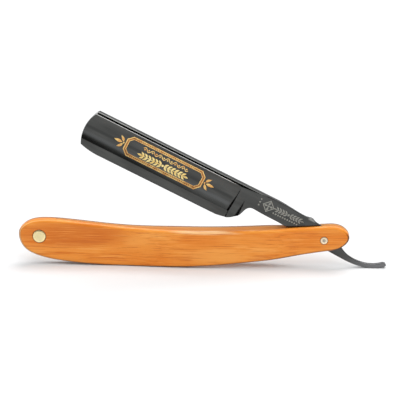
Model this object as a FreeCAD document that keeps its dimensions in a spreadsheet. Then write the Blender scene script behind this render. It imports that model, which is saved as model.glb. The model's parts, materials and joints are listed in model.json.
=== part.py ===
import FreeCAD, Part
import math
import os
import Sketcher

"""Straight razor standing on its edge, blade part open.

Frame: +X runs along the handle towards the pivot and the tail, -Y is the front scale,
+Z is up and z = 0 is the surface the razor stands on. The origin is under the middle of it.
The blade is drawn in its own frame: pivot at the origin, point towards -X, spine on top.
"""

V = FreeCAD.Vector
THROUGH = 100.0
doc = FreeCAD.newDocument("straight_razor")

DIMENSIONS = {
    # pose and places
    "open_angle": 26.8,
    "pivot_x": 55.8,
    "pivot_z": 13.8,
    "rivet_x": -75.1,
    "rivet_z": 13.8,
    # scales, measured across the handle from its middle plane
    "gap_half_mid": 2.55,
    "gap_half_pivot": 1.15,
    "gap_half_flare": 0.85,
    "gap_half_wedge": 0.75,
    "gap_half_tip": 0.52,
    "scale_thick_mid": 2.5,
    "scale_thick_flare": 2.25,
    "scale_thick_pivot": 2.3,
    "scale_thick_wedge": 2.2,
    "rim_round": 1.3,
    "inner_round": 0.3,
    # blade
    "spine_thick": 5.2,
    "tang_thick": 1.8,
    "tail_thick": 2.1,
    "spine_round": 1.5,
    "blade_rim_round": 0.2,
    "edge_half": 0.06,
    "belly_half": 0.5,
    "hollow_half": 0.3,
    "hollow_wheel": 25.5,
    "edge_wheel": 60.0,
    "rib_half": 0.9,
    "rib_wheel": 45.0,
    # pivot
    "pin_dia": 1.4,
    "pin_fit": 0.05,
    "blade_fit": 0.1,
    "collar_dia": 3.2,
    "collar_rim": 0.4,
    "collar_crown": 0.1,
    "collar_seat": 0.25,
    "peen_dia": 1.5,
    "peen_rim": 0.1,
    "peen_crown": 0.06,
    "flat_share": 0.8,
    "thrust_dia": 6.4,
    "thrust_thick": 0.22,
    # wedge rivet
    "head_dia": 5.7,
    "head_thick": 0.9,
    "head_crown": 0.1,
    "head_seat": 0.75,
    "sleeve_dia": 3.0,
    "post_dia": 1.9,
    "post_end_gap": 0.6,
    "tube_end_gap": 0.1,
    "bore_floor": 0.4,
    "seat_play": 0.4,
}


def make_sheet():
    """Put the driving dimensions in a spreadsheet and give each cell its alias."""
    sheet = doc.addObject("Spreadsheet::Sheet", "dims")
    for row, (alias, value) in enumerate(DIMENSIONS.items(), start=1):
        sheet.set("A%d" % row, alias)
        sheet.set("B%d" % row, str(value))
        sheet.setAlias("B%d" % row, alias)
    doc.recompute()
    return sheet


sheet = make_sheet()


def dim(alias):
    return float(sheet.get(alias))


# ---------------------------------------------------------------- drawing helpers

def new_body(name):
    body = doc.addObject("PartDesign::Body", name)
    body.Label = name
    return body


def origin_plane(body, role):
    return next(f for f in body.Origin.OriginFeatures if f.Role == role)


def add_sketch(body, role, name, geometry):
    """A sketch on one of the body's own origin planes."""
    sketch = body.newObject("Sketcher::SketchObject", name)
    sketch.AttachmentSupport = [(origin_plane(body, role), "")]
    sketch.MapMode = "FlatFace"
    for item in geometry:
        sketch.addGeometry(item, False)
    return sketch


def bound_circle(body, role, name, u, v, alias, play=None):
    """A circle at (u, v) whose diameter is a cell, or the sum of two cells."""
    size = dim(alias) + (dim(play) if play else 0.0)
    sketch = add_sketch(body, role, name, [Part.Circle(V(u, v, 0), V(0, 0, 1), size / 2)])
    index = sketch.addConstraint(Sketcher.Constraint("Diameter", 0, size))
    sketch.renameConstraint(index, "size")
    cells = "dims.%s" % alias + (" + dims.%s" % play if play else "")
    sketch.setExpression("Constraints.size", "(%s) * 1 mm" % cells)
    return sketch


def trace(start, *steps):
    """Sketch geometry for a closed outline.

    A step is a point (straight line) or two points (arc through the first, ending at the
    second).
    """
    here = V(*start, 0)
    items = []
    for step in steps:
        if isinstance(step[0], tuple):
            middle, end = (V(*p, 0) for p in step)
            items.append(Part.Arc(here, middle, end))
            here = end
        else:
            end = V(*step, 0)
            items.append(Part.LineSegment(here, end))
            here = end
    return items


def pad(body, sketch, name, length_expression, symmetric=False, reversed_=False):
    feature = body.newObject("PartDesign::Pad", name)
    feature.Profile = sketch
    feature.SideType = "Symmetric" if symmetric else "One side"
    feature.Reversed = reversed_
    feature.setExpression("Length", length_expression)
    return feature


def cut_through(body, sketch, name, length=THROUGH):
    feature = body.newObject("PartDesign::Pocket", name)
    feature.Profile = sketch
    feature.SideType = "Symmetric"
    feature.Length = length
    return feature


def round_edges(body, base, name, wanted, alias):
    """Fillet the edges of base for which wanted(edge) is true."""
    names = ["Edge%d" % (i + 1) for i, e in enumerate(base.Shape.Edges) if wanted(e)]
    feature = body.newObject("PartDesign::Fillet", name)
    feature.Base = (base, names)
    feature.setExpression("Radius", "dims.%s" % alias)
    return feature


# ---------------------------------------------------------------- handle

TIP_X = -86.0
WEDGE_X = -66.0
FLARE_X = -42.0
MID_LEFT_X = -6.0
MID_RIGHT_X = 28.0
PIVOT_FLAT_X = 47.0
END_X = 69.0
OUTSIDE = 8.0
FRONT = -1
BACK = 1
SAME = 0.01

SCALE_OUTLINE = [
    (-83.5, 18.0), (-79.8, 20.6), (-71.0, 21.8), (-60.0, 21.0), (-38.0, 18.8), (-12.0, 17.6),
    (14.0, 17.85), (38.0, 19.1), (56.5, 20.2), (63.8, 19.4), (67.35, 15.0),
    (64.8, 10.9), (57.0, 8.4), (38.0, 5.2), (20.0, 2.8), (4.0, 1.1), (-14.0, 0.25),
    (-33.0, 0.0), (-50.0, 0.4), (-65.0, 1.9), (-76.0, 4.3), (-82.2, 7.9), (-84.65, 13.3),
]


def closed_outline():
    """The side outline of the handle as one closed smooth curve."""
    points = [V(*p, 0) for p in SCALE_OUTLINE]
    curve = Part.BSplineCurve()
    curve.interpolate(Points=points, PeriodicFlag=True)
    return [curve]


def bow_curve(side, tip, wedge, flare, middle, pivot):
    """Plan view of one face of a scale: flat at the wedge, bowed out, flat at the pivot."""
    rise = (wedge - tip) / (WEDGE_X - TIP_X)
    start = V(TIP_X, side * tip, 0)
    at_wedge = V(WEDGE_X, side * wedge, 0)
    at_flare = V(FLARE_X, side * flare, 0)
    left = V(MID_LEFT_X, side * middle, 0)
    right = V(MID_RIGHT_X, side * middle, 0)
    at_pivot = V(PIVOT_FLAT_X, side * pivot, 0)
    end = V(END_X, side * pivot, 0)
    return [
        Part.LineSegment(start, at_wedge),
        s_curve(at_wedge, at_flare, side * rise),
        s_curve(at_flare, left, 0.0),
        Part.LineSegment(left, right),
        s_curve(right, at_pivot, 0.0),
        Part.LineSegment(at_pivot, end),
    ]


def s_curve(a, b, slope):
    """A cubic that leaves a with the given slope and reaches b running along X."""
    third = (b.x - a.x) / 3
    curve = Part.BSplineCurve()
    poles = [a, a + V(third, third * slope, 0), b - V(third, 0, 0), b]
    curve.buildFromPolesMultsKnots(poles, [4, 4], [0.0, 1.0], False, 3)
    return curve


def beyond(side, faces, limit):
    """The region between a bowed face and the straight line y = limit."""
    start = V(TIP_X, side * limit, 0)
    end = V(END_X, side * limit, 0)
    first = faces[0].StartPoint
    last = faces[-1].EndPoint
    sides = [Part.LineSegment(start, first), Part.LineSegment(last, end)]
    return faces + sides + [Part.LineSegment(end, start)]


def inner_face(side):
    return bow_curve(side, dim("gap_half_tip"), dim("gap_half_wedge"), dim("gap_half_flare"),
                     dim("gap_half_mid"), dim("gap_half_pivot"))


def outer_face(side):
    wedge = dim("scale_thick_wedge")
    return bow_curve(side, dim("gap_half_tip") + wedge, dim("gap_half_wedge") + wedge,
                     dim("gap_half_flare") + dim("scale_thick_flare"),
                     dim("gap_half_mid") + dim("scale_thick_mid"),
                     dim("gap_half_pivot") + dim("scale_thick_pivot"))


def seat(body, side, name, x, z, alias, play, level):
    """A round seat sunk from outside down to y = side * level."""
    sketch = bound_circle(body, "XZ_Plane", name + "_sketch", x, z, alias, play)
    sketch.AttachmentOffset = FreeCAD.Placement(V(0, 0, -side * level), FreeCAD.Rotation())
    feature = body.newObject("PartDesign::Pocket", name)
    feature.Profile = sketch
    feature.Type = "ThroughAll"
    feature.Reversed = side == FRONT
    return feature


def rivet_outer():
    """Distance of the outer face from the middle plane at the wedge rivet."""
    along = (dim("rivet_x") - TIP_X) / (WEDGE_X - TIP_X)
    gap = dim("gap_half_tip") + along * (dim("gap_half_wedge") - dim("gap_half_tip"))
    return gap + dim("scale_thick_wedge")


def make_scale(name, side):
    body = new_body(name)
    outline = add_sketch(body, "XZ_Plane", name + "_outline", closed_outline())
    slab = pad(body, outline, name + "_slab", "dims.gap_half_mid + dims.scale_thick_mid",
               reversed_=side == BACK)
    hollow = add_sketch(body, "XY_Plane", name + "_inner", beyond(side, inner_face(side), -1.0))
    cut_through(body, hollow, name + "_inner_cut")
    shell = add_sketch(body, "XY_Plane", name + "_outer", beyond(side, outer_face(side), OUTSIDE))
    bowed = cut_through(body, shell, name + "_outer_cut")
    doc.recompute()
    rim = rim_edges(bowed.Shape)
    outer = round_edges(body, bowed, name + "_rim", lambda e: is_in(e, rim["outer"]), "rim_round")
    doc.recompute()
    rim = rim_edges(outer.Shape)
    round_edges(body, outer, name + "_inside", lambda e: is_in(e, rim["inner"]), "inner_round")
    for label, x, z, alias, play in (
        ("rivet_hole", dim("rivet_x"), dim("rivet_z"), "sleeve_dia", "pin_fit"),
        ("pivot_hole", dim("pivot_x"), dim("pivot_z"), "pin_dia", "pin_fit"),
    ):
        circle = bound_circle(body, "XZ_Plane", "%s_%s_sketch" % (name, label), x, z, alias, play)
        cut_through(body, circle, "%s_%s" % (name, label))
    seat(body, side, name + "_rivet_seat", dim("rivet_x"), dim("rivet_z"), "head_dia",
         "seat_play", rivet_outer() - dim("head_seat"))
    seat(body, side, name + "_collar_seat", dim("pivot_x"), dim("pivot_z"), "collar_dia",
         "seat_play", dim("gap_half_pivot") + dim("scale_thick_pivot") - dim("collar_seat"))
    doc.recompute()
    return body


def is_in(edge, edges):
    return any(edge.isSame(other) for other in edges)


def rim_edges(shape):
    """Rim edges of a scale: those between the side wall and the outer or the inner face."""
    groups = {"outer": [], "inner": []}
    for edge in shape.Edges:
        first, last = edge.ParameterRange
        points = [edge.valueAt(first + (last - first) * k / 4) for k in range(5)]
        if max(p.x for p in points) - min(p.x for p in points) < SAME:
            continue
        for which, found in groups.items():
            if all(abs(abs(p.y) - face_y(p.x, which)) < SAME for p in points):
                found.append(edge)
    return groups


FACE_CURVES = {"inner": inner_face(BACK), "outer": outer_face(BACK)}


def face_y(x, which):
    """Distance of a bowed face from the middle plane at x."""
    for curve in FACE_CURVES[which]:
        a, b = curve.StartPoint, curve.EndPoint
        if a.x <= x <= b.x:
            if isinstance(curve, Part.LineSegment):
                return a.y + (b.y - a.y) * (x - a.x) / (b.x - a.x)
            return curve.value((x - a.x) / (b.x - a.x)).y
    return float("nan")


def make_wedge():
    """The tapered spacer between the scales, its inner end hollowed in a shallow arc."""
    body = new_body("wedge")
    outline = add_sketch(body, "XZ_Plane", "wedge_outline", closed_outline())
    pad(body, outline, "wedge_block", "2 * dims.gap_half_wedge", symmetric=True)
    for side in (FRONT, BACK):
        faces = add_sketch(body, "XY_Plane", "wedge_face", beyond(side, inner_face(side), OUTSIDE))
        cut_through(body, faces, "wedge_taper")
    top = (WEDGE_X + 1.0, 25.0)
    foot = (WEDGE_X + 1.0, -2.0)
    right = END_X + 1.0
    end = trace(top, ((WEDGE_X - 4.0, 11.5), foot), (right, foot[1]), (right, top[1]), top)
    cut_through(body, add_sketch(body, "XZ_Plane", "wedge_end", end), "wedge_end_cut")
    hole = bound_circle(body, "XZ_Plane", "wedge_hole_sketch", dim("rivet_x"), dim("rivet_z"),
                        "sleeve_dia", "pin_fit")
    cut_through(body, hole, "wedge_hole")
    return body


# ---------------------------------------------------------------- turned metal pieces
# Each is built along its own Z axis: z = 0 is the middle plane of the razor and +z points
# outwards. Part primitives keep their sizes as expressions on the sheet.

def cylinder(name, diameter, start, length):
    """A cylinder along z from start, all three given as expressions."""
    shape = doc.addObject("Part::Cylinder", name)
    shape.setExpression("Radius", "(%s) / 2" % diameter)
    shape.setExpression("Height", length)
    shape.setExpression("Placement.Base.z", start)
    return shape


def bevelled_disc(name, diameter, start, rim, crown):
    """A disc on z = start: a straight rim, then a bevel up to a flat face crown higher."""
    disc = cylinder(name + "_disc", diameter, start, rim)
    bevel = doc.addObject("Part::Cone", name + "_bevel")
    bevel.setExpression("Radius1", "(%s) / 2" % diameter)
    bevel.setExpression("Radius2", "(%s) / 2 * dims.flat_share" % diameter)
    bevel.setExpression("Height", crown)
    bevel.setExpression("Placement.Base.z", "%s + %s" % (start, rim))
    return joined(name, [disc, bevel])


def joined(name, pieces):
    fused = doc.addObject("Part::MultiFuse", name)
    fused.Shapes = pieces
    return fused


def bored(name, base, tool):
    cut = doc.addObject("Part::Cut", name)
    cut.Base = base
    cut.Tool = tool
    return cut


def face_outwards(piece, side, where):
    """Turn a piece's z axis to point out of the given side and move it to a pivot or rivet."""
    piece.Placement = FreeCAD.Placement(V(), FreeCAD.Rotation(V(1, 0, 0), -90 * side))
    piece.setExpression("Placement.Base.x", "dims.%s_x" % where)
    piece.setExpression("Placement.Base.z", "dims.%s_z" % where)
    piece.Label = piece.Name
    return piece


def make_rivet():
    """Two-part wedge rivet: a headed post from the front in a headed sleeve from the back."""
    under_head = "%.4f - dims.head_seat" % rivet_outer()
    for name, side in (("wedge_rivet_post", FRONT), ("wedge_rivet_sleeve", BACK)):
        head = bevelled_disc(name + "_head", "dims.head_dia", under_head, "dims.head_thick",
                             "dims.head_crown")
        if side == FRONT:
            stem = cylinder(name + "_stem", "dims.post_dia",
                            "dims.post_end_gap - (%s)" % under_head,
                            "2 * (%s) - dims.post_end_gap" % under_head)
            piece = joined(name, [head, stem])
        else:
            tube = cylinder(name + "_tube", "dims.sleeve_dia",
                            "dims.tube_end_gap - (%s)" % under_head,
                            "2 * (%s) - dims.tube_end_gap" % under_head)
            bore = cylinder(name + "_bore", "dims.post_dia + dims.pin_fit",
                            "-(%s)" % under_head, "2 * (%s) - dims.bore_floor" % under_head)
            piece = bored(name, joined(name + "_solid", [head, tube]), bore)
        face_outwards(piece, side, "rivet")


def make_pivot():
    """Peened pivot pin, a bevelled collar under each end, a thrust washer on each side."""
    collar_floor = "dims.gap_half_pivot + dims.scale_thick_pivot - dims.collar_seat"
    collar_top = "%s + dims.collar_rim + dims.collar_crown" % collar_floor
    shank = cylinder("pivot_pin_shank", "dims.pin_dia", "-(%s)" % collar_top,
                     "2 * (%s)" % collar_top)
    ends = []
    for side in (FRONT, BACK):
        end = bevelled_disc("pivot_pin_end", "dims.peen_dia", collar_top, "dims.peen_rim",
                            "dims.peen_crown")
        if side == BACK:
            end.Placement.Rotation = FreeCAD.Rotation(V(1, 0, 0), 180)
        ends.append(end)
    face_outwards(joined("pivot_pin", [shank] + ends), FRONT, "pivot")
    for name, side in (("front", FRONT), ("back", BACK)):
        solid = bevelled_disc(name + "_collar_solid", "dims.collar_dia", collar_floor,
                              "dims.collar_rim", "dims.collar_crown")
        hole = cylinder(name + "_collar_hole", "dims.pin_dia + dims.pin_fit", "0", "10")
        face_outwards(bored(name + "_pivot_washer", solid, hole), side, "pivot")
        disc = cylinder(name + "_thrust_disc", "dims.thrust_dia",
                        "dims.gap_half_pivot - dims.thrust_thick", "dims.thrust_thick")
        hole = cylinder(name + "_thrust_hole", "dims.pin_dia + dims.pin_fit", "0", "10")
        face_outwards(bored(name + "_inner_washer", disc, hole), side, "pivot")


# ---------------------------------------------------------------- blade

SPINE_Z = 6.4
EDGE_Z = -12.65
TOE_X = -120.4
HOLLOW_Z = -5.3
HOLLOW_END_X = -44.6
HOLLOW_RUN_OUT = 1.3
RIB_Z = -9.5
RIB_END_X = -40.1
RIB_RUN_OUT = 2.0
SHOULDER_X = -46.0
TANG_X = -14.0
TAIL_X = 12.0
BLADE_END_X = 34.0


# From the end of the straight spine along the shank's back with its low thumb ridge, round the
# tail, back under the tang to the notch and round the heel to the start of the straight edge.
BACK_TAIL_AND_HEEL = [
    (-28.0, SPINE_Z), (-24.0, 6.3), (-19.0, 5.93), (-13.9, 5.55), (-11.3, 5.68), (-9.0, 6.08),
    (-7.0, 5.36), (-4.2, 4.92), (-1.0, 4.45), (4.0, 2.9), (9.0, 0.1), (13.0, -1.75),
    (17.5, -2.3), (22.5, -1.6), (26.4, 0.05), (28.6, 1.6), (30.3, 2.5), (31.3, 1.95),
    (30.6, 0.6), (28.4, -1.05), (25.6, -2.49), (20.0, -4.2), (14.3, -4.65), (6.0, -4.4),
    (-8.0, -3.7), (-22.0, -2.6), (-34.0, -2.0), (-37.0, -2.2), (-38.4, -3.6), (-39.4, -6.4),
    (-41.6, -9.6), (-45.3, -11.8), (-49.0, -12.55), (-52.0, EDGE_Z),
]


def blade_outline():
    """Side outline in the blade's own frame, clockwise from the top of the toe."""
    toe_top = (-117.4, SPINE_Z)
    sweep = Part.BSplineCurve()
    sweep.interpolate(Points=[V(*p, 0) for p in BACK_TAIL_AND_HEEL],
                      InitialTangent=V(1, 0, 0), FinalTangent=V(-1, 0, 0))
    toe = trace(
        BACK_TAIL_AND_HEEL[-1],
        (-108.0, EDGE_Z),
        ((-114.0, -12.3), (-118.6, -11.2)),
        ((TOE_X, -2.8), toe_top),
        BACK_TAIL_AND_HEEL[0],
    )
    return [sweep] + toe


def taper_region(side):
    """Plan view of what is cut away beside the shank, the tang and the tail."""
    shoulder = V(SHOULDER_X, side * dim("spine_thick") / 2, 0)
    tang = V(TANG_X, side * dim("tang_thick") / 2, 0)
    tail = V(TAIL_X, side * dim("tang_thick") / 2, 0)
    tip = V(BLADE_END_X, side * dim("tail_thick") / 2, 0)
    outside = side * OUTSIDE
    corners = [tip, V(BLADE_END_X, outside, 0), V(SHOULDER_X, outside, 0), shoulder]
    sides = [Part.LineSegment(a, b) for a, b in zip(corners, corners[1:])]
    return [s_curve(shoulder, tang, 0.0), Part.LineSegment(tang, tail),
            s_curve(tail, tip, 0.0)] + sides


def spine_corner(side):
    """End view of what is cut away outside one rounded corner of the spine."""
    radius = dim("spine_round")
    face = dim("spine_thick") / 2
    bend = radius * (1 - math.sqrt(0.5))
    above = SPINE_Z + 2.0
    return trace(
        (side * (face - radius), SPINE_Z),
        (side * (face - radius), above),
        (side * OUTSIDE, above),
        (side * OUTSIDE, SPINE_Z - radius),
        (side * face, SPINE_Z - radius),
        ((side * (face - bend), SPINE_Z - bend), (side * (face - radius), SPINE_Z)),
    )


def wheel(body, side, name, radius_alias, reach, height, end_x, run_out):
    """Grind one side of the blade with a wheel whose axis runs along the blade.

    The wheel comes to y = reach from the middle plane at the given height, and its rounded
    rim of radius run_out ends at end_x. Its axis is at y = side * (radius + reach).
    """
    radius = dim(radius_alias)
    start_x = TOE_X - 5.0
    corner = run_out * (1 - math.sqrt(0.5))
    profile = trace(
        (start_x, 0.0),
        (start_x, -side * radius),
        (end_x - run_out, -side * radius),
        ((end_x - corner, -side * (radius - corner)), (end_x, -side * (radius - run_out))),
        (end_x, 0.0),
        (start_x, 0.0),
    )
    sketch = add_sketch(body, "XY_Plane", name + "_sketch", profile)
    sketch.AttachmentOffset = FreeCAD.Placement(V(0, side * (radius + reach), height),
                                                FreeCAD.Rotation())
    groove = body.newObject("PartDesign::Groove", name)
    groove.Profile = sketch
    groove.ReferenceAxis = (sketch, ["H_Axis"])
    groove.Angle = 360
    return groove


def edge_wheel_place():
    """Reach and height of the lower wheel, which passes through the belly and the edge."""
    radius = dim("edge_wheel")
    upper = dim("hollow_wheel")
    lift = upper + dim("hollow_half") - dim("belly_half")
    belly_z = HOLLOW_Z - math.sqrt(upper ** 2 - lift ** 2)
    belly = V(belly_z, dim("belly_half"), 0)
    edge = V(EDGE_Z, dim("edge_half"), 0)
    chord = edge - belly
    middle = (belly + edge) / 2
    outward = V(chord.y, -chord.x, 0).normalize()
    centre = middle + outward * math.sqrt(radius ** 2 - (chord.Length / 2) ** 2)
    return centre.y - radius, centre.x


def make_blade():
    body = new_body("blade")
    outline = add_sketch(body, "XZ_Plane", "blade_outline", blade_outline())
    pad(body, outline, "blade_blank", "dims.spine_thick", symmetric=True)
    for side in (FRONT, BACK):
        region = add_sketch(body, "XY_Plane", "blade_taper_sketch", taper_region(side))
        cut_through(body, region, "blade_taper")
        corner = add_sketch(body, "YZ_Plane", "blade_spine_sketch", spine_corner(side))
        blank = cut_through(body, corner, "blade_spine_round", 4 * THROUGH)
    doc.recompute()
    round_edges(body, blank, "blade_rim", is_blade_rim, "blade_rim_round")
    circle = bound_circle(body, "XZ_Plane", "blade_bore_sketch", 0, 0, "pin_dia", "blade_fit")
    cut_through(body, circle, "blade_bore")
    reach, height = edge_wheel_place()
    for side, name in ((FRONT, "front"), (BACK, "back")):
        wheel(body, side, name + "_rib_grind", "rib_wheel", dim("rib_half"), RIB_Z,
              RIB_END_X, RIB_RUN_OUT)
        wheel(body, side, name + "_hollow_grind", "hollow_wheel", dim("hollow_half"), HOLLOW_Z,
              HOLLOW_END_X, HOLLOW_RUN_OUT)
        wheel(body, side, name + "_edge_grind", "edge_wheel", reach, height,
              HOLLOW_END_X, HOLLOW_RUN_OUT)
    body.Placement = FreeCAD.Placement(V(), FreeCAD.Rotation(V(0, 1, 0), dim("open_angle")))
    body.setExpression("Placement.Base.x", "dims.pivot_x")
    body.setExpression("Placement.Base.z", "dims.pivot_z")
    return body


def is_blade_rim(edge):
    """The long edges of the blank's outline, apart from the rounded corners of the spine."""
    first, last = edge.ParameterRange
    points = [edge.valueAt(first + (last - first) * k / 8) for k in range(9)]
    runs_across = max(p.x for p in points) - min(p.x for p in points) < SAME
    in_the_middle = min(abs(p.y) for p in points) < 0.5
    on_spine = max(p.z for p in points) > SPINE_Z - SAME
    return not (runs_across or in_the_middle or on_spine)


make_scale("front_scale", FRONT)
make_scale("back_scale", BACK)
make_wedge()
make_rivet()
make_pivot()
make_blade()
doc.recompute()

NODES = (
    "blade", "front_scale", "back_scale", "wedge", "wedge_rivet_post", "wedge_rivet_sleeve",
    "pivot_pin", "front_pivot_washer", "back_pivot_washer", "front_inner_washer",
    "back_inner_washer",
)


def write_parts():
    """Check every object, then write each sub-part to its STEP file."""
    failed = [o.Name for o in doc.Objects if {"Invalid", "Error"} & set(o.State)]
    if failed:
        raise RuntimeError("objects failed to build: %s" % failed)
    os.makedirs("parts", exist_ok=True)
    for name in NODES:
        node = doc.getObject(name)
        shape = node.Shape
        if shape.isNull() or not shape.isValid() or len(shape.Solids) != 1:
            raise RuntimeError("%s is not one valid solid" % name)
        shape.exportStep("parts/%s.step" % name)
        box = shape.BoundBox
        print("%-20s %9.2f mm3  x %.2f..%.2f  y %.2f..%.2f  z %.2f..%.2f" % (
            name, shape.Volume, box.XMin, box.XMax, box.YMin, box.YMax, box.ZMin, box.ZMax))


write_parts()
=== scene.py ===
import json
import math

import bmesh
import bpy
from mathutils import Matrix, Vector
from mathutils.bvhtree import BVHTree


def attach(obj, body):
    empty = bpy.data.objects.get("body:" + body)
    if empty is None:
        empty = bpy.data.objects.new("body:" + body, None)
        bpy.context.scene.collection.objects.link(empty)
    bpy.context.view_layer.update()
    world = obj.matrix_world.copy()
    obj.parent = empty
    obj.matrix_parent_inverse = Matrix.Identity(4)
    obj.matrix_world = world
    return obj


MM = 0.001

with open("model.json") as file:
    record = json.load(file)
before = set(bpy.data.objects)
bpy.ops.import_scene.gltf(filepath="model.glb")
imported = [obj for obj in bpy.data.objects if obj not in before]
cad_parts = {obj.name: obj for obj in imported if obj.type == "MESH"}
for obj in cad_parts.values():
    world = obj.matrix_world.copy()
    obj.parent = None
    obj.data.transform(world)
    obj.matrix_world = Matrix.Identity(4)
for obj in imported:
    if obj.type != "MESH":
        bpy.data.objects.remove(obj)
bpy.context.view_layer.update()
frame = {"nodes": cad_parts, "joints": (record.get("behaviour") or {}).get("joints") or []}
nodes = frame["nodes"]
hinge = frame["joints"][0]
PIVOT = Vector(hinge["pos_m"])
PIVOT_MM = tuple(c / MM for c in PIVOT)
OPEN_ANGLE = math.radians(26.8)
OPEN = Matrix.Rotation(OPEN_ANGLE, 3, "Y")


# ---------------------------------------------------------------- node helpers

class Tree:
    """The node tree of a new material, or of a world, with short calls for its nodes."""

    def __init__(self, name, world=None):
        self.material = world or bpy.data.materials.new(name)
        self.material.use_nodes = True
        self.nodes = self.material.node_tree.nodes
        self.links = self.material.node_tree.links
        self.shader = self.nodes["Background" if world else "Principled BSDF"]

    def add(self, kind, **settings):
        node = self.nodes.new(kind)
        for key, value in settings.items():
            setattr(node, key, value)
        return node

    def put(self, value, socket):
        """Set a socket to a number or colour, or link an output into it."""
        if isinstance(value, bpy.types.NodeSocket):
            self.links.new(value, socket)
        else:
            socket.default_value = value

    def shade(self, **inputs):
        for key, value in inputs.items():
            self.put(value, self.shader.inputs[key.replace("_", " ")])

    def math(self, operation, a, b=0.0):
        node = self.add("ShaderNodeMath", operation=operation)
        self.put(a, node.inputs[0])
        self.put(b, node.inputs[1])
        return node.outputs[0]

    def times(self, a, b):
        return self.math("MULTIPLY", a, b)

    def plus(self, a, b):
        return self.math("ADD", a, b)

    def abs(self, value):
        return self.math("ABSOLUTE", value)

    def coords(self, scale, turn=0.0, centre=(0, 0, 0)):
        """Object coordinates in millimetres, from centre (in metres), turned about Y and scaled."""
        place = self.add("ShaderNodeTexCoord").outputs["Object"]
        shift = self.add("ShaderNodeVectorMath", operation="SUBTRACT")
        self.put(place, shift.inputs[0])
        self.put(centre, shift.inputs[1])
        spin = self.add("ShaderNodeVectorRotate", rotation_type="Y_AXIS")
        self.put(shift.outputs[0], spin.inputs["Vector"])
        self.put(turn, spin.inputs["Angle"])
        size = self.add("ShaderNodeVectorMath", operation="MULTIPLY")
        self.put(spin.outputs[0], size.inputs[0])
        self.put([s / MM for s in scale], size.inputs[1])
        return size.outputs[0]

    def noise(self, vector, detail=3.0, rough=0.55):
        """Noise whose features are about one unit of the vector wide."""
        node = self.add("ShaderNodeTexNoise")
        for key, value in (("Vector", vector), ("Scale", 1.0), ("Detail", detail),
                           ("Roughness", rough)):
            self.put(value, node.inputs[key])
        return node.outputs["Fac"]

    def ramp(self, value, stops):
        node = self.add("ShaderNodeValToRGB")
        elements = node.color_ramp.elements
        while len(elements) < len(stops):
            elements.new(0.5)
        for element, (place, colour) in zip(elements, stops):
            element.position = place
            element.color = (*colour, 1.0)
        self.put(value, node.inputs[0])
        return node.outputs[0]

    def span(self, value, low, high, to_low, to_high):
        """Map low..high smoothly to to_low..to_high, held at both ends."""
        node = self.add("ShaderNodeMapRange", interpolation_type="SMOOTHSTEP")
        for socket, number in zip(node.inputs[:5], (value, low, high, to_low, to_high)):
            self.put(number, socket)
        return node.outputs[0]

    def mix(self, factor, a, b):
        node = self.add("ShaderNodeMix", data_type="RGBA")
        self.put(factor, node.inputs["Factor"])
        self.put((*a, 1.0) if isinstance(a, tuple) else a, node.inputs[6])
        self.put((*b, 1.0) if isinstance(b, tuple) else b, node.inputs[7])
        return node.outputs[2]

    def bump(self, height, strength, distance):
        node = self.add("ShaderNodeBump")
        self.put(strength, node.inputs["Strength"])
        self.put(distance, node.inputs["Distance"])
        self.put(height, node.inputs["Height"])
        return node.outputs[0]

    def axis(self, vector, name):
        node = self.add("ShaderNodeSeparateXYZ")
        self.put(vector, node.inputs[0])
        return node.outputs[name]

    def length(self, vector):
        node = self.add("ShaderNodeVectorMath", operation="LENGTH")
        self.put(vector, node.inputs[0])
        return node.outputs["Value"]

    def near(self, value, centre, inner, outer):
        """One within inner of centre, falling to nothing at outer."""
        off = self.abs(self.math("SUBTRACT", value, centre))
        return self.span(off, inner, outer, 1.0, 0.0)


# ---------------------------------------------------------------- materials

# Places on the handle in millimetres, in the row frame.
RIVET = (-75.1, 0.0, 13.8)
INNER_FACE_Y = 2.58

WOOD_PALE = (0.87, 0.365, 0.070)
WOOD_MID = (0.80, 0.270, 0.030)
WOOD_WARM = (0.72, 0.190, 0.008)
WOOD_DARK = (0.50, 0.098, 0.003)
WOOD_DEEP = (0.60, 0.140, 0.004)
# Painted highlight: a pale streak along the middle of the upper rim.
RIM_HIGHLIGHT_PAINT = (0.90, 0.56, 0.27)
# Painted light on the inner faces, in the shaded gap between the scales.
INNER_LIGHT_PAINT = (0.92, 0.50, 0.19)
# Painted shade: the colour on the rims, then the darker line round the ends.
RIM_SHADE = (0.24, 0.085, 0.016)
OUTLINE_SHADE = (0.10, 0.034, 0.008)
# Painted shade round the rivet and collar seats.
SEAT_SHADE = (0.16, 0.045, 0.006)
WOOD_BUMP = 0.05 * MM
METAL_BUMP = 0.02 * MM

# Larger areas of the figure: centre in mm, half length and half height, strength, colour.
FIGURE = (
    ((-60.0, 0.0, 14.5), (32.0, 7.5), 0.85, WOOD_DEEP),
    ((6.0, 0.0, 6.0), (20.0, 4.5), 0.6, WOOD_PALE),
    ((52.0, 0.0, 15.0), (26.0, 5.0), 0.35, WOOD_WARM),
    # Not figure but a painted highlight: the pale streak along the middle of the upper rim.
    ((1.5, 0.0, 17.1), (19.0, 1.1), 0.9, RIM_HIGHLIGHT_PAINT),
)


def metres(place):
    return [c * MM for c in place]


def wood_grain(t, centre):
    """Long soft bands that wander across the handle as they run along it."""
    drift = t.noise(t.coords((0.02, 0.1, 0.05), centre=centre), detail=2.0)
    lift = t.add("ShaderNodeCombineXYZ")
    t.put(t.times(drift, 3.2), lift.inputs["Z"])
    bent = t.add("ShaderNodeVectorMath", operation="ADD")
    t.put(t.coords((0.035, 0.3, 0.55), centre=centre), bent.inputs[0])
    t.put(lift.outputs[0], bent.inputs[1])
    return t.noise(bent.outputs[0], detail=4.0, rough=0.6)


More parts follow.
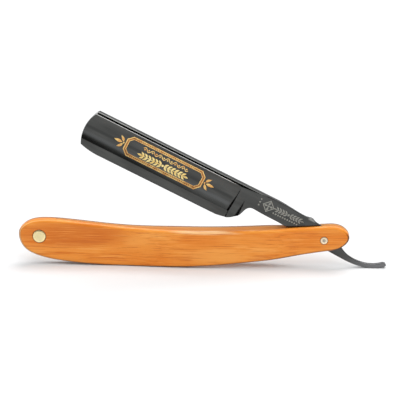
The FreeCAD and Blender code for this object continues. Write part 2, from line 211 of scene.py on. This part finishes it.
def add_figure(t, colour, streaks):
    """Lay the larger areas of the figure, and the painted highlight on the upper rim, over the
    grain, their borders torn by the streaks.
    """
    ragged = t.times(t.math("SUBTRACT", streaks, 0.5), 0.9)
    for place, (half_x, half_z), strength, tone in FIGURE:
        reach = t.length(t.coords((1 / half_x, 0, 1 / half_z), centre=metres(place)))
        colour = t.mix(t.span(t.plus(reach, ragged), 0.45, 1.0, strength, 0.0), colour, tone)
    return colour


def paint_rim_shade(t, colour, dark_top):
    """Painted shade on the rounded rims, strongest where they face down, with a darker painted line
    round both ends.

    The upper rim stays clear of this painted shade unless dark_top is above zero.
    """
    normal = t.add("ShaderNodeNewGeometry").outputs["Normal"]
    along, out, up = (t.axis(normal, name) for name in "XYZ")
    rim = t.span(t.abs(out), 0.72, 0.98, 0.85, 0.0)
    colour = t.mix(t.times(rim, t.span(up, -0.1, 0.6, 1.0, dark_top)), colour, RIM_SHADE)
    widen_left = t.times(t.math("MINIMUM", along, 0.0), 0.17)
    line = t.span(t.plus(t.abs(out), widen_left), 0.80, 0.97, 0.95, 0.0)
    ends = t.times(t.span(t.abs(along), 0.08, 0.35, 0.0, 1.0), t.span(up, 0.1, 0.6, 1.0, 0.0))
    where = t.math("MAXIMUM", ends, t.span(up, 0.1, 0.6, 0.0, 0.6 * dark_top))
    colour = t.mix(t.times(line, where), colour, OUTLINE_SHADE)
    return colour, out


def paint_inner_light(t, colour, out):
    """Paint the inner faces, which lie closer to the middle plane, paler: painted light against the
    shade in the gap between the scales.
    """
    across = t.abs(t.axis(t.coords((1, 1, 1)), "Y"))
    flat = t.span(t.abs(out), 0.5, 0.9, 0.0, 0.9)
    inside = t.span(across, INNER_FACE_Y, INNER_FACE_Y + 0.12, 1.0, 0.0)
    return t.mix(t.times(inside, flat), colour, INNER_LIGHT_PAINT)


def paint_seat_shade(t, colour):
    """Painted shade in the seats round the rivet heads and the collars."""
    for place, near, far in ((RIVET, 2.9, 3.5), (PIVOT_MM, 1.6, 2.1)):
        radius = t.length(t.coords((1, 0, 1), centre=metres(place)))
        colour = t.mix(t.span(radius, near, far, 0.85, 0.0), colour, SEAT_SHADE)
    return colour


def make_wood(name, offset, tint=1.0, dark_top=0.0):
    """Varnished orange wood, its grain fine and straight along the handle.

    offset moves the grain so that no two pieces share it; tint scales its colours.
    """
    t = Tree(name)
    pale, mid, warm, dark = (tuple(tint * c for c in tone)
                             for tone in (WOOD_PALE, WOOD_MID, WOOD_WARM, WOOD_DARK))
    centre = metres((offset, 0.0, 0.35 * offset))
    grain = wood_grain(t, centre)
    streaks = t.noise(t.coords((0.05, 1.2, 1.9), centre=centre), detail=4.0, rough=0.62)
    pores = t.noise(t.coords((0.4, 5.0, 7.0), centre=centre), detail=2.0, rough=0.5)
    patches = t.noise(t.coords((0.032, 0.05, 0.10), centre=centre), detail=2.0)
    colour = t.ramp(grain, [(0.32, warm), (0.46, mid), (0.58, mid), (0.70, pale)])
    colour = t.mix(t.span(patches, 0.34, 0.50, 0.60, 0.0), colour, warm)
    colour = t.mix(t.span(patches, 0.52, 0.70, 0.0, 0.55), colour, pale)
    colour = add_figure(t, colour, streaks)
    colour = t.mix(t.span(streaks, 0.52, 0.66, 0.0, 0.65), colour, dark)
    colour = t.mix(t.span(streaks, 0.32, 0.46, 0.55, 0.0), colour, pale)
    colour = t.mix(t.span(pores, 0.60, 0.74, 0.0, 0.30), colour, dark)
    # Painted shade on the rims and round the ends.
    colour, out = paint_rim_shade(t, colour, dark_top)
    # Painted light on the inner faces.
    colour = paint_inner_light(t, colour, out)
    # Painted shade round the rivet and collar seats.
    colour = paint_seat_shade(t, colour)
    height = t.plus(t.times(streaks, 0.6), t.times(pores, 0.4))
    t.shade(Base_Color=colour, Roughness=t.span(grain, 0.3, 0.7, 0.42, 0.32),
            Normal=t.bump(height, 0.2, WOOD_BUMP), Coat_Weight=0.12, Coat_Roughness=0.14,
            Specular_IOR_Level=0.3)
    return t.material


# Places on the blade in millimetres, in its own frame: x from the pivot, z towards the spine.
HOLLOW_FADE = (-47.0, -45.0)
RIDGE_FADE = (-52.0, -46.0)
RIDGE_Z = 5.27
THUMB_X = -8.9
THUMB_FADE = (4.7, 5.3)
TAIL_FADE = (10.0, 29.0)

COATING = ((0.35, (0.058, 0.059, 0.057)), (0.65, (0.082, 0.083, 0.080)))
RUBBED_TAIL = (0.175, 0.175, 0.18)
THUMB_PATCH = (0.32, 0.32, 0.31)
# Colour of the painted highlight along the shoulder.
RIDGE_HIGHLIGHT_PAINT = (0.88, 0.87, 0.85)

# Painted reflections: bands along the hollow, height in mm, half width in mm, colour.
HOLLOW_REFLECTION_BANDS = (
    (-2.0, 1.3, (0.044, 0.045, 0.044)),
    (-5.3, 1.5, (0.100, 0.103, 0.104)),
)


def make_coating():
    """Black-coated polished steel, rubbed lighter at the tail, with a lighter patch on the thumb
    rest, painted reflection bands along the hollow and a painted highlight along the shoulder.
    """
    t = Tree("black_coated_steel")

    def on_blade_axes(scale):
        return t.coords(scale, turn=-OPEN_ANGLE, centre=PIVOT[:])

    place = on_blade_axes((1, 1, 1))
    x, z = t.axis(place, "X"), t.axis(place, "Z")
    fine = t.noise(on_blade_axes((0.9, 1.0, 7.0)))
    cloud = t.noise(on_blade_axes((0.05, 0.1, 0.25)), detail=2.0)
    colour = t.ramp(cloud, COATING)
    hollow = t.span(x, *HOLLOW_FADE, 1.0, 0.0)
    # Painted reflections: a darker and a lighter band along the hollow.
    for height, reach, tone in HOLLOW_REFLECTION_BANDS:
        band = t.times(t.near(z, height, 0.2, reach), hollow)
        colour = t.mix(t.times(band, 0.8), colour, tone)
    colour = t.mix(t.span(x, *TAIL_FADE, 0.0, 1.0), colour, RUBBED_TAIL)
    # A lighter patch on the thumb rest.
    thumb = t.times(t.near(x, THUMB_X, 1.0, 2.4), t.span(z, *THUMB_FADE, 0.0, 0.8))
    colour = t.mix(thumb, colour, THUMB_PATCH)
    # Painted highlight: a bright line along the shoulder below the spine.
    ridge = t.near(t.plus(z, t.times(fine, 0.10)), RIDGE_Z, 0.10, 0.27)
    ridge = t.times(ridge, t.span(x, *RIDGE_FADE, 1.0, 0.0))
    colour = t.mix(ridge, colour, RIDGE_HIGHLIGHT_PAINT)
    rough = t.plus(t.times(fine, 0.10), t.span(x, *TAIL_FADE, 0.13, 0.24))
    t.shade(Base_Color=colour, Metallic=1.0, Roughness=rough,
            Normal=t.bump(fine, 0.05, METAL_BUMP))
    return t.material


# A duller colour for the middle of the rivet head.
CENTRE_BRASS = (0.66, 0.60, 0.36)


def make_brass(name, tone, metal, rough, centre=None):
    """Polished brass; with a centre in mm, its middle is duller than its rim."""
    t = Tree(name)
    swirl = t.noise(t.coords((1.2, 1.2, 1.2)), detail=4.0, rough=0.6)
    scratch = t.noise(t.coords((0.6, 9.0, 9.0)), detail=2.0)
    colour = t.mix(t.span(swirl, 0.35, 0.7, 0.0, 0.5), tone, tuple(c * 0.84 for c in tone))
    if centre:
        radius = t.length(t.coords((1, 0, 1), centre=metres(centre)))
        colour = t.mix(t.span(radius, 1.7, 2.5, 0.45, 0.0), colour, CENTRE_BRASS)
    t.shade(Base_Color=colour, Metallic=metal, Normal=t.bump(scratch, 0.06, METAL_BUMP),
            Roughness=t.span(swirl, 0.3, 0.7, rough, rough + 0.14))
    return t.material


def make_steel():
    """Dull steel of the pivot pin's peened ends."""
    t = Tree("pin_steel")
    scratch = t.noise(t.coords((4.0, 4.0, 4.0)), detail=4.0)
    colour = t.mix(scratch, (0.44, 0.38, 0.30), (0.66, 0.60, 0.50))
    t.shade(Base_Color=colour, Metallic=0.8, Roughness=t.span(scratch, 0.3, 0.7, 0.45, 0.6),
            Normal=t.bump(scratch, 0.1, METAL_BUMP))
    return t.material


def make_gilding(name, tone, deep):
    """Gold wash on the etched pattern, patchy between two tones."""
    t = Tree(name)
    cloud = t.noise(t.coords((0.35, 0.5, 0.5)))
    fine = t.noise(t.coords((2.5, 2.5, 2.5)))
    colour = t.mix(t.span(cloud, 0.38, 0.66, 0.0, 1.0), tone, deep)
    t.shade(Base_Color=colour, Metallic=0.75, Roughness=t.span(fine, 0.3, 0.7, 0.32, 0.5),
            Normal=t.bump(fine, 0.15, METAL_BUMP))
    return t.material


def make_etching():
    """Bare steel in the etched marks on the shank."""
    t = Tree("etched_marks")
    fine = t.noise(t.coords((3.0, 3.0, 3.0)))
    colour = t.mix(fine, (0.22, 0.22, 0.20), (0.42, 0.42, 0.38))
    t.shade(Base_Color=colour, Metallic=0.6, Roughness=0.5,
            Normal=t.bump(fine, 0.2, METAL_BUMP))
    return t.material


def dress(material, *pieces):
    for node in pieces:
        slots = nodes[node].data.materials
        slots.clear()
        slots.append(material)


brass = make_brass("polished_brass", (0.98, 0.82, 0.44), metal=1.0, rough=0.26)
rivet_brass = make_brass("rivet_brass", (1.0, 0.84, 0.45), metal=0.85, rough=0.28, centre=RIVET)
dress(make_wood("front_scale_wood", 0.0), "front_scale")
dress(make_wood("back_scale_wood", 37.0, dark_top=0.9), "back_scale")
dress(make_wood("wedge_wood", 91.0, tint=0.92), "wedge")
dress(make_coating(), "blade")
dress(make_steel(), "pivot_pin")
collar_brass = make_brass("collar_brass", (1.0, 0.84, 0.60), metal=0.5, rough=0.38)
dress(brass, "front_inner_washer", "back_inner_washer")
dress(rivet_brass, "wedge_rivet_post", "wedge_rivet_sleeve")
dress(collar_brass, "front_pivot_washer", "back_pivot_washer")


# ---------------------------------------------------------------- ornament on the blade
# Flat patterns are drawn in millimetres in the blade's own frame (x along it from the pivot,
# z towards the spine) and laid on its front surface as thin closed plates.

# How far the lines and the ground under them stand out, and how far both reach into the blade.
LIFT = 0.03 * MM
WASH_LIFT = 0.015 * MM
SINK = 0.05 * MM

# A place in front of everything, from where the blade's surface is looked for.
IN_FRONT_Y = -20.0 * MM

# The bordered field: its centre on the blade, its size, its border and the hatching.
FIELD = (-81.0, -1.6)
HALF_LENGTH = 19.5
HALF_HEIGHT = 4.85
BAND = 1.05
CORNER = 2.3
HATCH = 0.9
HATCH_LEAN = 0.45
OUTER_LINE = 0.42
INNER_LINE = 0.30
HATCH_LINE = 0.24

# Places of the marks on the shank.
SPRIG = (-19.6, 2.6)
LOZENGE = (-29.8, 2.35)

# The longest straight piece of a line and the number of pieces along a leaf.
STRAIGHT = 0.4
LEAF_STEPS = 8

blade_surface = BVHTree.FromPolygons([v.co for v in nodes["blade"].data.vertices],
                                     [p.vertices for p in nodes["blade"].data.polygons])


def on_blade(x, z):
    """The point of the blade's front surface at (x, z), in metres in the row frame."""
    place = PIVOT + OPEN @ Vector((x * MM, 0.0, z * MM))
    start = Vector((place.x, IN_FRONT_Y, place.z))
    return blade_surface.ray_cast(start, Vector((0.0, 1.0, 0.0)))[0]


def sampled(points):
    """A polyline with extra points, at most STRAIGHT apart, to follow a curved surface."""
    out = [points[0]]
    for a, b in zip(points, points[1:]):
        count = max(1, math.ceil(math.dist(a, b) / STRAIGHT))
        out += [(a[0] + (b[0] - a[0]) * k / count, a[1] + (b[1] - a[1]) * k / count)
                for k in range(1, count + 1)]
    return out


def stroke(points, width, closed=False):
    """Rows of two points either side of a line; its corners are mitred."""
    count = len(points)
    rows = []
    for k, (x, z) in enumerate(points):
        before = points[(k - 1) % count] if closed or k else points[0]
        after = points[(k + 1) % count] if closed or k < count - 1 else points[-1]
        along = Vector((x - before[0], z - before[1])).normalized()
        onward = Vector((after[0] - x, after[1] - z)).normalized()
        along = along if along.length else onward
        onward = onward if onward.length else along
        mean = (along + onward).normalized()
        reach = width / 2 / max(0.5, mean.dot(onward))
        side = Vector((-mean.y, mean.x)) * reach
        rows.append([(x + side.x, z + side.y), (x - side.x, z - side.y)])
    return rows, closed


def leaf(root, angle, length, width, bend=0.0):
    """Rows of three points across a pointed leaf that grows from root at angle, in degrees."""
    heading = math.radians(angle)
    rows = []
    for k in range(LEAF_STEPS + 1):
        t = k / LEAF_STEPS
        half = width / 2 * max(0.04, math.sin(math.pi * t ** 0.85))
        off = bend * length * math.sin(math.pi * t)
        row = []
        for side in (half, 0.0, -half):
            x, z = t * length, off + side
            row.append((root[0] + x * math.cos(heading) - z * math.sin(heading),
                        root[1] + x * math.sin(heading) + z * math.cos(heading)))
        rows.append(row)
    return rows, False


def dot(centre, radius):
    return leaf((centre[0] - radius, centre[1]), 0.0, 2 * radius, 2 * radius)


def scaled(strips, sx, sz):
    return [([[(sx * x, sz * z) for x, z in row] for row in rows], closed)
            for rows, closed in strips]


def both_ends(strips):
    """The strips and their mirror image left to right."""
    return strips + scaled(strips, -1, 1)


def four_ways(quarter):
    return [s for sx in (1, -1) for sz in (1, -1) for s in scaled(quarter, sx, sz)]


def moved(strips, place):
    return [([[(x + place[0], z + place[1]) for x, z in row] for row in rows], closed)
            for rows, closed in strips]


def lay(name, strips, material, lift):
    """Build the strips as one piece of thin closed plates on the blade."""
    shape = bmesh.new()
    for rows, closed in strips:
        skins = []
        for height in (lift, -SINK):
            skins.append([[shape.verts.new(on_blade(x, z) - Vector((0, height, 0)))
                           for x, z in row] for row in rows])
        last = len(rows[0]) - 1
        for k in range(len(rows) if closed else len(rows) - 1):
            n = (k + 1) % len(rows)
            for top in skins:
                for j in range(last):
                    shape.faces.new((top[k][j], top[n][j], top[n][j + 1], top[k][j + 1]))
            for j in (0, last):
                shape.faces.new((skins[0][k][j], skins[0][n][j], skins[1][n][j], skins[1][k][j]))
        if not closed:
            for k in (0, len(rows) - 1):
                for j in range(last):
                    shape.faces.new((skins[0][k][j], skins[0][k][j + 1],
                                     skins[1][k][j + 1], skins[1][k][j]))
    bmesh.ops.recalc_face_normals(shape, faces=shape.faces)
    mesh = bpy.data.meshes.new(name)
    shape.to_mesh(mesh)
    shape.free()
    mesh.materials.append(material)
    piece = bpy.data.objects.new(name, mesh)
    bpy.context.collection.objects.link(piece)
    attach(piece, "blade")


def inset_quarter(inset):
    """One quarter of the border's outline, an oblong with cut corners, moved inwards by inset."""
    top = HALF_HEIGHT - inset
    end = HALF_LENGTH - inset
    cut = CORNER - inset * (2.0 - math.sqrt(2.0))
    return sampled([(0.0, top), (end - cut, top), (end, top - cut), (end, 0.0)])


def border_strips():
    """The border: two lines with slanting hatches between them."""
    quarter = [stroke(inset_quarter(0.0), OUTER_LINE), stroke(inset_quarter(BAND), INNER_LINE)]
    inner, outer = HALF_HEIGHT - BAND, HALF_HEIGHT
    for k in range(int((HALF_LENGTH - CORNER - 0.6) / HATCH)):
        x = HATCH * (k + 0.25)
        quarter.append(stroke(sampled([(x, inner), (x + HATCH_LEAN, outer)]), HATCH_LINE))
    return four_ways(quarter)


def ground_strips():
    """The coloured ground under the border's lines."""
    return four_ways([stroke(inset_quarter(BAND / 2), BAND)])


def finial_strips():
    """A bead and three plain leaves beyond each end of the border."""
    root = HALF_LENGTH + 1.0
    strips = [dot((root, 0.0), 0.45), leaf((root + 0.7, 0.0), 0.0, 4.0, 1.4)]
    for sign in (1, -1):
        strips.append(leaf((root + 0.2, 0.5 * sign), 48.0 * sign, 3.2, 1.2, 0.08 * sign))
    return both_ends(strips)


def wave_strips():
    """A running wave with a bead in each bend."""
    height, half, bend, rise, per_mm = 1.85, 11.4, 3.8, 0.85, 4
    line = [(x / per_mm, height + rise * math.sin(2 * math.pi * x / per_mm / bend))
            for x in range(int(-per_mm * half), int(per_mm * half) + 1)]
    beads = [dot(((k + 0.5) * bend / 2, height + (0.2 if k % 2 else -0.2)), 0.42)
             for k in range(-6, 6)]
    return [stroke(line, 0.38)] + beads


def laurel_strips(height, half, pitch, length, width, stem, bead):
    """Two laurel branches that grow outwards from a bead in the middle of a row."""
    start = 0.8
    strips = [stroke(sampled([(start, height), (half, height)]), stem)]
    for k in range(int((half - length * 0.6) / pitch)):
        x = start + pitch * k
        for sign in (1, -1):
            strips.append(leaf((x, height + 0.12 * sign), 40.0 * sign, length, width, 0.06 * sign))
    strips.append(leaf((half - length * 0.75, height), 0.0, length, width))
    return both_ends(strips) + [dot((0.0, height), bead)]


def lozenge_strips(radius):
    """A diamond outline round a bead and four leaves."""
    corners = [(radius, 0.0), (0.0, radius), (-radius, 0.0), (0.0, -radius), (radius, 0.0)]
    strips = [stroke(sampled(corners)[:-1], 0.40, closed=True), dot((0.0, 0.0), 0.5)]
    for k in range(4):
        turn = math.radians(90.0 * k)
        root = (0.5 * math.cos(turn), 0.5 * math.sin(turn))
        strips.append(leaf(root, 90.0 * k, radius - 1.0, 0.9))
    return strips


def add_ornament():
    gold = make_gilding("gilding", (0.90, 0.64, 0.24), (0.74, 0.37, 0.11))
    bright = make_gilding("bright_gilding", (0.96, 0.78, 0.34), (0.88, 0.60, 0.18))
    wash = make_gilding("copper_wash", (0.46, 0.19, 0.06), (0.22, 0.10, 0.045))
    etched = make_etching()
    laurel = laurel_strips(height=-1.65, half=12.2, pitch=1.75, length=2.35, width=0.98,
                           stem=0.34, bead=0.62)
    sprig = laurel_strips(height=0.0, half=7.4, pitch=1.45, length=1.9, width=0.72,
                          stem=0.28, bead=0.6)
    for name, strips, material, lift in (
        ("copper_ground", ground_strips(), wash, WASH_LIFT),
        ("gold_border", border_strips(), gold, LIFT),
        ("gold_finials", finial_strips(), gold, LIFT),
        ("gold_wave", wave_strips(), gold, LIFT),
        ("gold_laurel", laurel, bright, LIFT),
    ):
        lay(name, moved(strips, FIELD), material, lift)
    marks = moved(sprig, SPRIG)
    marks += [dot((-26.3 + 1.2 * k, 0.35), 0.42) for k in range(11)]
    marks += [dot((-34.2, 1.1 + 1.5 * k), 0.42) for k in range(3)]
    lay("shank_sprig", marks, etched, LIFT)
    lay("shank_lozenge", moved(lozenge_strips(2.7), LOZENGE), etched, LIFT)


add_ornament()


# ---------------------------------------------------------------- studio

# Brightness of the surround, then of what glossy surfaces see of the room.
AMBIENT = 0.48
ROOM = 0.02
ROOM_BEHIND = 0.50
SOFTBOX = 2.2

# The floor: half its side in metres, its colours, and where in mm its dark front part begins.
FLOOR_HALF = 4.0
FLOOR = (0.755, 0.76, 0.765)
FLOOR_DARK = (0.02, 0.02, 0.02)
FLOOR_BOUNCE = (0.66, 0.66, 0.66)
FLOOR_DARK_Y = (-420.0, -240.0)

CAMERA_AZIMUTH = math.radians(2.57)
CAMERA_ELEVATION = math.radians(16.5)
CAMERA_DISTANCE = 0.6
CAMERA_LENS = 118.2
SENSOR_WIDTH = 36.0
AIM = Vector((-0.00104, 0.0, 0.0314))


def make_floor():
    """A pale floor. Glossy surfaces see its front part as dark as the room in front."""
    mesh = bpy.data.meshes.new("studio_floor")
    half = FLOOR_HALF
    corners = [(-half, -half, 0), (half, -half, 0), (half, half, 0), (-half, half, 0)]
    mesh.from_pydata(corners, [], [(0, 1, 2, 3)])
    floor = bpy.data.objects.new("studio_floor", mesh)
    bpy.context.collection.objects.link(floor)
    t = Tree("studio_floor")
    front = t.span(t.axis(t.coords((1, 1, 1)), "Y"), *FLOOR_DARK_Y, 1.0, 0.0)
    rays = t.add("ShaderNodeLightPath")
    colour = t.mix(t.times(front, rays.outputs["Is Glossy Ray"]), FLOOR, FLOOR_DARK)
    colour = t.mix(rays.outputs["Is Diffuse Ray"], colour, FLOOR_BOUNCE)
    t.shade(Base_Color=colour, Roughness=0.95, Specular_IOR_Level=0.1)
    mesh.materials.append(t.material)


def make_sun(name, spread, strength, source, in_reflections):
    """A distant soft light from the direction source; spread is its width in degrees."""
    lamp = bpy.data.lights.new(name, "SUN")
    lamp.angle = math.radians(spread)
    lamp.energy = strength
    light = bpy.data.objects.new(name, lamp)
    light.rotation_mode = "QUATERNION"
    light.rotation_quaternion = Vector(source).to_track_quat("Z", "Y")
    light.visible_glossy = in_reflections
    bpy.context.collection.objects.link(light)


def make_world():
    """An even white surround. Glossy surfaces see a softbox overhead and a dark room in front."""
    world = bpy.data.worlds.new("studio")
    bpy.context.scene.world = world
    t = Tree("studio", world)
    way = t.add("ShaderNodeTexCoord").outputs["Generated"]
    y, z = t.axis(way, "Y"), t.axis(way, "Z")
    room = t.plus(ROOM, t.times(t.span(y, -0.05, 0.30, 0.0, 1.0), ROOM_BEHIND))
    box = t.times(t.span(z, 0.62, 0.74, 0.0, 1.0), t.span(y, 0.05, 0.16, 0.0, 1.0))
    seen = t.plus(room, t.times(box, SOFTBOX))
    glossy = t.add("ShaderNodeLightPath").outputs["Is Glossy Ray"]
    even = t.times(t.math("SUBTRACT", 1.0, glossy), AMBIENT)
    t.shade(Color=(1.0, 1.0, 1.0, 1.0), Strength=t.plus(t.times(glossy, seen), even))


def make_camera():
    """Almost square on to the front, from a little above."""
    level = math.cos(CAMERA_ELEVATION)
    back = Vector((math.sin(CAMERA_AZIMUTH) * level, -math.cos(CAMERA_AZIMUTH) * level,
                   math.sin(CAMERA_ELEVATION)))
    data = bpy.data.cameras.new("camera")
    data.lens, data.sensor_width = CAMERA_LENS, SENSOR_WIDTH
    data.clip_start, data.clip_end = 0.01, 20.0
    camera = bpy.data.objects.new("camera", data)
    camera.location = AIM + back * CAMERA_DISTANCE
    camera.rotation_mode = "QUATERNION"
    camera.rotation_quaternion = (-back).to_track_quat("-Z", "Y")
    bpy.context.collection.objects.link(camera)
    bpy.context.scene.camera = camera


make_floor()
make_sun("overhead", spread=42.0, strength=1.65, source=(0.2, 0.34, 0.93), in_reflections=True)
make_sun("front", spread=60.0, strength=1.86, source=(0.1, -0.55, 0.83), in_reflections=False)
make_world()
make_camera()
bpy.context.scene.view_settings.view_transform = "Standard"
bpy.context.scene.view_settings.look = "None"
